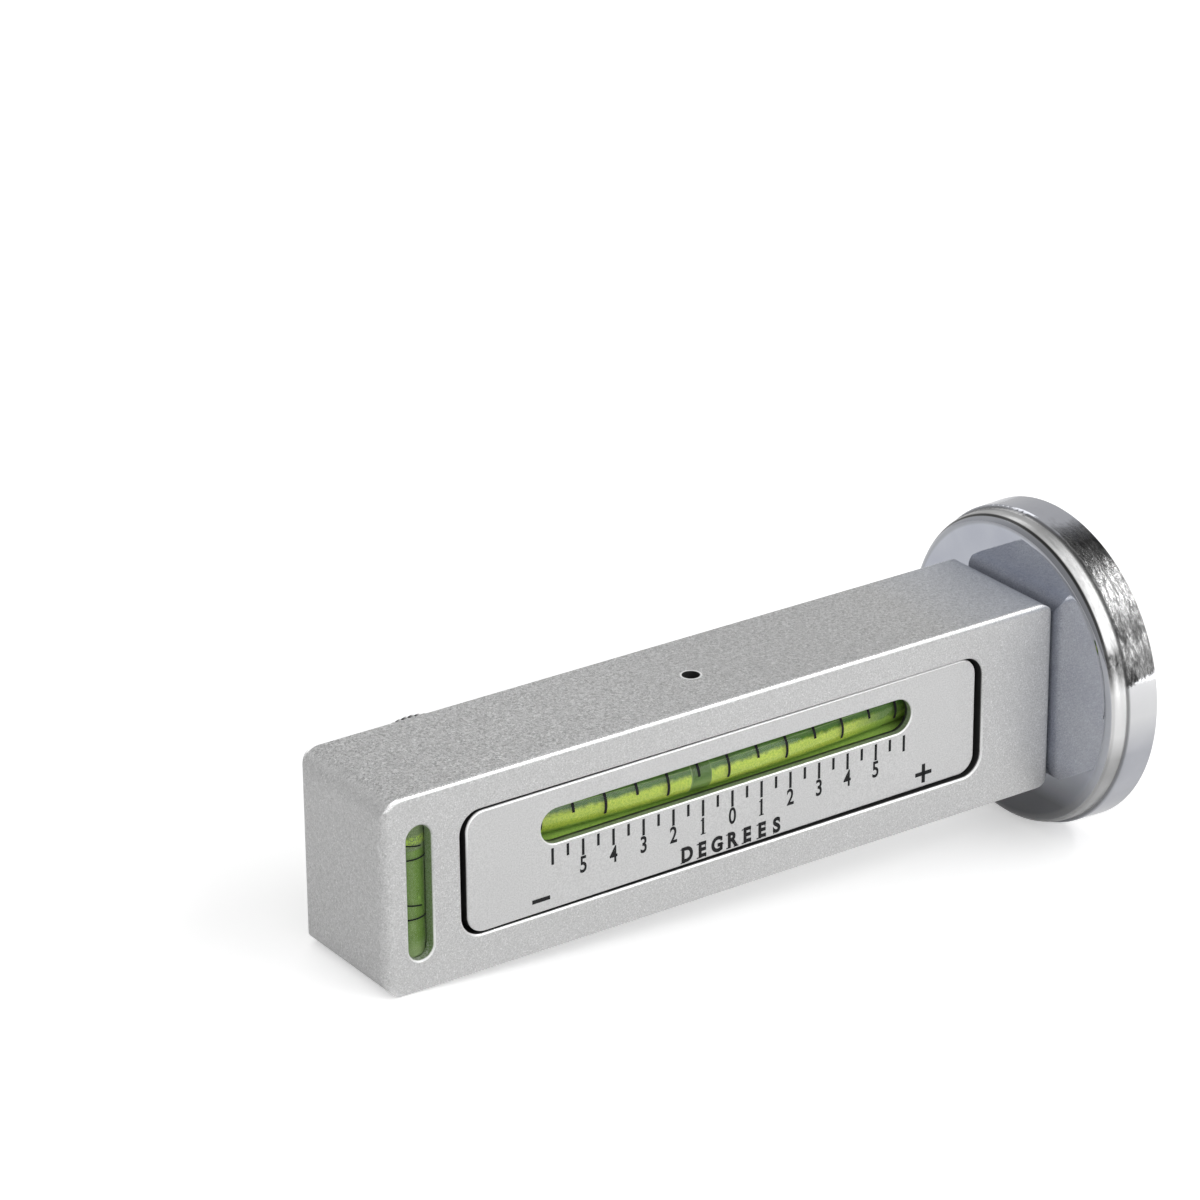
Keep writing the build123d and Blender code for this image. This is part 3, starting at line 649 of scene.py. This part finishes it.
for node_name, finish in {
    "body": SILVER, "rocker_block": ROCKER_METAL, "camber_scale_plate": CAMBER_PLATE,
    "caster_scale_plate": CASTER_PLATE, "magnet_cup": NICKEL, "magnet_pole": NICKEL, "magnet_ring": FERRITE,
    "magnet_resin": RESIN, "magnet_stud": STEEL, "pivot_pin": STEEL, "adjusting_screw": STEEL,
    "return_spring": STEEL, "screw_bush": BRASS, "thrust_pad": PAD, "knob": KNOB_METAL,
    "level_bore_covers": COVER, "camber_vial_plugs": RUBBERY, "caster_vial_plugs": RUBBERY,
    "level_vial_plugs": RUBBERY,
}.items():
    nodes[node_name].data.materials[0] = finish


# ---- vials -----------------------------------------------------------------------------------
def curved_rod(name, side, radius, length):
    """A round rod swept along the vial's bend."""
    clear_bench()
    bend = CAMBER_BEND if side < 0 else CASTER_BEND
    centre = bend_centre(side)
    half = asin(length / 2 / bend)
    crest = Matrix.Rotation(-half, 3, "Z") @ Vector((0, side * bend, 0))
    start = centre + crest + Vector((0, 0, VIAL_Z))
    bpy.ops.mesh.primitive_circle_add(
        vertices=64, radius=radius, fill_type="NOTHING", location=start, rotation=(0, pi / 2, -half)
    )
    rod = name_piece(name)
    set_down(rod)
    bpy.ops.object.mode_set(mode="EDIT")
    bpy.ops.mesh.select_all(action="SELECT")
    bpy.ops.mesh.spin(steps=72, angle=-2 * half, center=centre, axis=(0, 0, 1))
    bpy.ops.mesh.select_all(action="SELECT")
    bpy.ops.mesh.fill_holes(sides=0)
    bpy.ops.mesh.select_all(action="SELECT")
    bpy.ops.mesh.normals_make_consistent(inside=False)
    bpy.ops.object.mode_set(mode="OBJECT")
    set_down(rod, ROCKER)
    take_up(rod)
    bpy.ops.object.shade_smooth_by_angle(angle=SMOOTH_BELOW)
    return rod


def straight_rod(name, radius, length, rounding, axis="Z"):
    """A round rod about the origin with its ends rounded."""
    clear_bench()
    turn = (0, 0, 0) if axis == "Z" else (0, pi / 2, 0)
    bpy.ops.mesh.primitive_cylinder_add(vertices=64, radius=radius, depth=length, rotation=turn)
    rod = set_down(name_piece(name))
    bpy.ops.object.mode_set(mode="EDIT")
    bpy.ops.mesh.select_all(action="SELECT")
    bpy.ops.mesh.bevel(offset=rounding, segments=4, affect="EDGES")
    bpy.ops.object.mode_set(mode="OBJECT")
    bpy.ops.object.shade_smooth_by_angle(angle=SMOOTH_BELOW)
    return rod


for title, side, tube_length, core_length, bubble_at, liquor in (
    ("camber", -1, 86 * MM, 80 * MM, CAMBER_BUBBLE_AT, CAMBER_SPIRIT),
    ("caster", 1, 66 * MM, 60 * MM, 0, CASTER_SPIRIT),
):
    glass = curved_rod(title + "_vial_glass", side, VIAL_R, tube_length)
    outfit(glass, "rocker", ACRYLIC, "vial", title + "_vial_tube")
    core = curved_rod(title + "_vial_spirit", side, CORE_R - HAIR, core_length)
    outfit(core, "rocker", liquor, "vial", title + "_vial_fluid")
    place = bubble_place(side, bubble_at)
    bubble = straight_rod(title + "_bubble_air", CORE_R + 0.05 * MM, BUBBLE_LENGTH, 0.35 * MM, "X")
    bubble.data.transform(place)
    skin = bubble_skin(title + "_bubble_skin", place.translation, False)
    outfit(bubble, title + "_air", skin, "vial", title + "_bubble")
    # cross vial on the same face
    y = side * LEVEL_Y
    glass = straight_rod(title + "_level_glass", LEVEL_R, LEVEL_LENGTH, 0.3 * MM)
    glass.data.transform(Matrix.Translation((LEVEL_X, y, 0)))
    outfit(glass, "bar", WET_ACRYLIC, "vial", title + "_level_tube")
    core = straight_rod(title + "_level_spirit", LEVEL_CORE_R - HAIR, LEVEL_CORE_LENGTH, 0.6 * MM)
    core.data.transform(Matrix.Translation((LEVEL_X, y, 0)))
    outfit(core, "bar", LEVEL_SPIRIT, "vial", title + "_level_fluid")
    bubble = straight_rod(title + "_level_bubble_air", LEVEL_CORE_R + HAIR, LEVEL_BUBBLE_LENGTH, 0.8 * MM)
    bubble.data.transform(Matrix.Translation((LEVEL_X, y, LEVEL_BUBBLE_Z)))
    skin = bubble_skin(title + "_level_skin", (LEVEL_X, y, LEVEL_BUBBLE_Z), True)
    outfit(bubble, title + "_level_air", skin, "vial", title + "_level_bubble")


# ---- return spring ---------------------------------------------------------------------------
def sprung_coil():
    """The coil as one piece, merged and shaded smooth, standing in for the CAD spring."""
    node = nodes["return_spring"]
    mesh = node.data.copy()
    mesh.transform(node.matrix_world)
    coil = bpy.data.objects.new("sprung_coil", mesh)
    mesh.name = coil.name
    bpy.context.scene.collection.objects.link(coil)
    take_up(coil)
    bpy.ops.object.mode_set(mode="EDIT")
    bpy.ops.mesh.select_all(action="SELECT")
    bpy.ops.mesh.remove_doubles(threshold=1e-6)
    bpy.ops.mesh.normals_make_consistent(inside=False)
    bpy.ops.object.mode_set(mode="OBJECT")
    bpy.ops.object.shade_smooth_by_angle(angle=SMOOTH_BELOW)
    mesh.materials.clear()
    mesh.materials.append(STEEL)
    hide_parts("return_spring")
    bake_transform(coil)


sprung_coil()


# ---- printed scales --------------------------------------------------------------------------
# Laid out flat on the face: x along the plate, y up it. FRONT stands the layout on the camber
# plate's face, BACK on the caster plate's.
STAND_UP = Matrix.Rotation(pi / 2, 4, "X")
ABOUT_FACE = Matrix.Rotation(pi, 4, "Z")
FRONT = ROCKER @ Matrix.Translation((0, CAMBER_FACE, 0)) @ STAND_UP
BACK = ROCKER @ Matrix.Translation((CASTER_X, CASTER_FACE, 0)) @ ABOUT_FACE @ STAND_UP
STROKES_TOP = 0.6 * MM              # tops of the strokes, and middle of the numbers
NUMBERS_Y = -4.3 * MM
CAPITAL_SHARE = 0.73                # a capital's height as a share of the typeface's size


def printed_bar(x, top, height, width):
    """A stroke centred at x, hanging from its top."""
    clear_bench()
    bpy.ops.mesh.primitive_cube_add(size=1, location=(x, top - height / 2, 0))
    tick = bpy.context.object
    tick.scale = (width, height, 2 * INK_DEPTH)
    set_down(tick)
    bpy.ops.object.mode_set(mode="EDIT")
    bpy.ops.mesh.select_all(action="SELECT")
    bpy.ops.mesh.bevel(offset=0.4 * INK_DEPTH, segments=2, affect="EDGES")
    bpy.ops.object.mode_set(mode="OBJECT")
    return tick


def printed_text(text, x, y, height, stretch=1.0, bold=0.0, spacing=1.0):
    """Words or a number centred at x with their middle at y."""
    clear_bench()
    bpy.ops.object.text_add(location=(0, 0, 0))
    words = bpy.context.object
    words.data.body = text
    words.data.align_x = "CENTER"
    words.data.align_y = "CENTER"
    words.data.size = height / CAPITAL_SHARE
    words.data.extrude = INK_DEPTH
    words.data.offset = bold
    words.data.space_character = spacing
    words.scale = (stretch, 1, 1)
    words.location = (x, y, 0)
    bpy.ops.object.convert(target="MESH")
    return set_down(bpy.context.object)


def printed_number(number, x, y, height):
    """A narrow number centred at x with its middle at y; the 1 is made of bars."""
    if number != 1:
        return [printed_text(str(number), x, y, height, 0.74, 0.08 * MM)]
    top = y + height / 2
    stem = printed_bar(x, top, height, 0.46 * MM)
    foot = printed_bar(x, top - height + 0.2 * MM, 0.2 * MM, 1.0 * MM)
    flag = printed_bar(x - 0.27 * MM, top - 0.3 * MM, 0.22 * MM, 0.42 * MM)
    return [stem, foot, flag]


def serif_letter(letter, x, y, height):
    """A bold letter with feet: its own strokes, and bars across the ends of its stems."""
    parts = [printed_text(letter, x, y, height, 0.88, 0.17 * MM)]
    top, foot = y + height / 2, y - height / 2
    thin = 0.2 * MM
    feet = {
        "D": ((-0.86, top), (-0.86, foot + thin)),
        "E": ((-0.62, top), (-0.62, foot + thin)),
        "R": ((-0.75, top), (-0.75, foot + thin), (0.85, foot + thin)),
        "G": ((0.85, y + 0.05 * MM),),
        "S": (),
    }[letter]
    for offset, at in feet:
        parts.append(printed_bar(x + offset * MM, at, thin, 1.0 * MM))
    beaks = {
        "E": ((0.68, top), (0.72, foot + 0.75 * MM)),
        "G": ((0.82, top),),
        "S": ((0.55, top), (-0.6, foot + 0.8 * MM)),
    }.get(letter, ())
    for offset, at in beaks:
        parts.append(printed_bar(x + offset * MM, at, 0.8 * MM, 0.18 * MM))
    return parts


def camber_scale():
    """Half-degree strokes, numbers 5 to 0 to 5, the title, a minus on the left, a plus on the right."""
    parts = []
    shift = 0.3 * MM                # the whole print stands this far towards the magnet
    for half_step in range(-12, 13):
        height = (3.05 if half_step % 2 == 0 else 2.2) * MM
        parts.append(printed_bar(half_step * DEGREE / 2 + shift, STROKES_TOP, height, 0.52 * MM))
    for number in range(-5, 6):
        parts += printed_number(abs(number), number * DEGREE + shift, NUMBERS_Y, 3.1 * MM)
    for index, letter in enumerate("DEGREES"):
        parts += serif_letter(letter, (0.25 + (index - 3) * 3.15) * MM, -8.75 * MM, 2.75 * MM)
    minus_x, plus_x = -39 * MM, 41.7 * MM
    length, thickness = 3.6 * MM, 0.75 * MM
    parts.append(printed_bar(minus_x, -7.85 * MM, thickness, length))
    parts.append(printed_bar(plus_x, -7.55 * MM, thickness, length))
    parts.append(printed_bar(plus_x, -6.12 * MM, length, thickness))
    scale = join_up("camber_scale_print", parts)
    return set_down(scale, FRONT)


def caster_scale():
    """Strokes for each degree, numbers 8 to 0 to 8 by fours, and the title."""
    parts = []
    for step in range(-11, 12):
        height = (2.9 if step % 4 == 0 else 2.1) * MM
        parts.append(printed_bar(step * CASTER_DIVISION, STROKES_TOP, height, 0.5 * MM))
    for number in (-8, -4, 0, 4, 8):
        parts += printed_number(abs(number), number * CASTER_DIVISION, NUMBERS_Y, 2.95 * MM)
    parts.append(printed_text("DEGREES", 0, -7.9 * MM, 2.2 * MM, 0.9, 0.06 * MM, 1.5))
    scale = join_up("caster_scale_print", parts)
    return set_down(scale, BACK)


outfit(camber_scale(), "rocker", INK, "plate_metal")
outfit(caster_scale(), "rocker", INK, "plate_metal")


# ---- rings on the vials ----------------------------------------------------------------------
def ring_strip(radius, start, end, width, axis="X"):
    """A thin strip of ink round a rod along X or Z, from one turn to another, 0 being towards -Y."""
    clear_bench()
    bpy.ops.mesh.primitive_plane_add(size=1)
    strip = bpy.context.object
    along_x = axis == "X"
    sliver = 0.02 * MM              # the spun profile's short side
    strip.scale = (width, sliver, 1) if along_x else (sliver, width, 1)
    strip.rotation_euler = (pi / 2, 0, 0)
    strip.location = (0, -radius, 0)
    set_down(strip, Matrix.Rotation(start, 4, axis))
    bpy.ops.object.mode_set(mode="EDIT")
    bpy.ops.mesh.select_all(action="SELECT")
    steps = max(8, round(abs(end - start) * 14))    # 14 to a radian
    spindle = (1, 0, 0) if along_x else (0, 0, 1)
    bpy.ops.mesh.spin(steps=steps, angle=start - end, center=(0, 0, 0), axis=spindle)
    bpy.ops.mesh.select_all(action="SELECT")
    bpy.ops.mesh.remove_doubles(threshold=1e-6)
    bpy.ops.mesh.normals_make_consistent(inside=False)
    bpy.ops.object.mode_set(mode="OBJECT")
    return strip


def vial_rings(name, side, bend, pitch, count, long_step):
    """The marks on a curved vial: long ones well past its middle, short ones just to it."""
    parts = []
    start, long_end, short_end = -1.3, 0.47, -0.10
    for step in range(-count, count + 1):
        end = long_end if step % long_step == 0 else short_end
        strip = ring_strip(VIAL_R + RING_LIFT, start, end, 0.54 * MM)
        place = Matrix.Translation((0, -bend, VIAL_Z))
        place = Matrix.Rotation(step * pitch / bend, 4, "Z") @ place
        if side > 0:
            place = Matrix.Rotation(pi, 4, "Z") @ place
        strip.data.transform(Matrix.Translation(bend_centre(side)) @ place)
        parts.append(strip)
    return set_down(join_up(name, parts), ROCKER)


def level_rings(name, y):
    """The two rings of a cross vial."""
    parts = []
    for z in (5.5, -5.3):
        strip = ring_strip(LEVEL_R + RING_LIFT, 0, 2 * pi, 0.3 * MM, "Z")
        strip.data.transform(Matrix.Translation((LEVEL_X, y, z * MM)))
        parts.append(strip)
        # the ring's far side, which shows through the spirit above its near side
        middle = 0 if y < 0 else pi
        strip = ring_strip(LEVEL_R + 2 * HAIR, middle - 1.2, middle + 0.36, 0.26 * MM, "Z")
        slant = Matrix.Rotation(0.2 if y < 0 else -0.2, 4, "Y")
        strip.data.transform(Matrix.Translation((LEVEL_X, y, (z + 2.4) * MM)) @ slant)
        parts.append(strip)
    return join_up(name, parts)


camber_rings = vial_rings("camber_vial_rings", -1, CAMBER_BEND, DEGREE, count=6, long_step=2)
outfit(camber_rings, "rocker", INK, "vial")
caster_rings = vial_rings("caster_vial_rings", 1, CASTER_BEND, 4 * CASTER_DIVISION, count=2, long_step=1)
outfit(caster_rings, "rocker", INK, "vial")
outfit(level_rings("camber_level_rings", -LEVEL_Y), "bar", INK, "vial")
outfit(level_rings("caster_level_rings", LEVEL_Y), "bar", INK, "vial")


# ---- table, light and camera -----------------------------------------------------------------
def table_top():
    """The gauge lies on the step of the magnet's rim and the bar's outer bottom edge."""
    slope = 0.0832
    clear_bench()
    bpy.ops.mesh.primitive_plane_add(size=12)
    table = name_piece("table_top")
    step_foot = Matrix.Translation((MAGNET_STEP, 0, -29.53 * MM))
    set_down(table, step_foot @ Matrix.Rotation(slope, 4, "Y"))
    f = Finish("white_table")
    rays = f.add("ShaderNodeLightPath")
    seen = f.math("ADD", rays.outputs["Is Camera Ray"], rays.outputs["Is Transmission Ray"], True)
    seen = f.math("ADD", seen, f.times(rays.outputs["Is Glossy Ray"], 0.3), True)
    f.set(Base_Color=(0.86, 0.86, 0.86, 1), Roughness=0.9)
    f.set(Emission_Color=(1, 1, 1, 1), Emission_Strength=f.math("MULTIPLY", seen, 0.42))
    table.data.materials.append(f.material)


def studio():
    """A pale dome with three darker places and a brighter one, and three soft panels."""
    world = bpy.data.worlds.new("studio")
    bpy.context.scene.world = world
    world.use_nodes = True
    tree = world.node_tree
    sky = tree.nodes["Background"]
    where = tree.nodes.new("ShaderNodeTexCoord").outputs["Generated"]
    level = 0.66
    # towards the spot, cosines of its core and its rim, and how bright it is beside the rest
    for spot, near, far, share in (
        ((0.52, 0.05, 0.85), 0.985, 0.88, 0.12),
        ((0.52, -0.85, 0.05), 0.99, 0.94, 0.08),
        ((-0.95, 0.10, 0.30), 0.95, 0.55, 0.62),
        ((-0.45, -0.72, 0.52), 0.97, 0.84, 1.9),
    ):
        dot = tree.nodes.new("ShaderNodeVectorMath")
        dot.operation = "DOT_PRODUCT"
        tree.links.new(where, dot.inputs[0])
        dot.inputs[1].default_value = Vector(spot).normalized()
        fade = tree.nodes.new("ShaderNodeMapRange")
        fade.interpolation_type = "SMOOTHSTEP"
        for socket, number in zip(fade.inputs[1:5], (far, near, 1.0, share)):
            socket.default_value = number
        tree.links.new(dot.outputs["Value"], fade.inputs["Value"])
        times = tree.nodes.new("ShaderNodeMath")
        times.operation = "MULTIPLY"
        tree.links.new(fade.outputs["Result"], times.inputs[0])
        if isinstance(level, float):
            times.inputs[1].default_value = level
        else:
            tree.links.new(level, times.inputs[1])
        level = times.outputs[0]
    tree.links.new(level, sky.inputs["Strength"])
    sky.inputs["Color"].default_value = (1, 1, 1, 1)
    middle = Vector((-0.075, 0, 0))
    for name, at, size, power in (
        ("front_panel", (0.30, -1.25, 0.30), (1.1, 0.8), 4.5),
        ("edge_strip", (0.40, -0.42, 0.60), (0.9, 0.08), 1.8),
        ("back_panel", (0.02, 1.0, 0.95), (1.2, 0.35), 1.6),
    ):
        lamp = bpy.data.lights.new(name, "AREA")
        lamp.shape = "RECTANGLE"
        lamp.size, lamp.size_y = size
        lamp.energy = power
        holder = bpy.data.objects.new(name, lamp)
        bpy.context.scene.collection.objects.link(holder)
        holder.location = at
        holder.rotation_euler = (middle - Vector(at)).to_track_quat("-Z", "Y").to_euler()


def camera():
    """Stands where the photo's edges put it: the directions are those of the picture's sides."""
    lens = bpy.data.cameras.new("camera")
    lens.lens = 142.335
    lens.sensor_width = 36
    lens.clip_start = 0.05
    lens.clip_end = 60
    right = Vector((0.82205, -0.56936, -0.00804))
    down = Vector((-0.23378, -0.32459, -0.91651))
    forward = Vector((0.51921, 0.7553, -0.39993))
    turn = Matrix((right, -down, -forward)).transposed().to_4x4()
    stand = bpy.data.objects.new("camera", lens)
    bpy.context.scene.collection.objects.link(stand)
    stand.matrix_world = Matrix.Translation((-0.505805, -0.593417, 0.350132)) @ turn
    bpy.context.scene.camera = stand


table_top()
studio()
camera()
bpy.context.scene.view_settings.view_transform = "Standard"
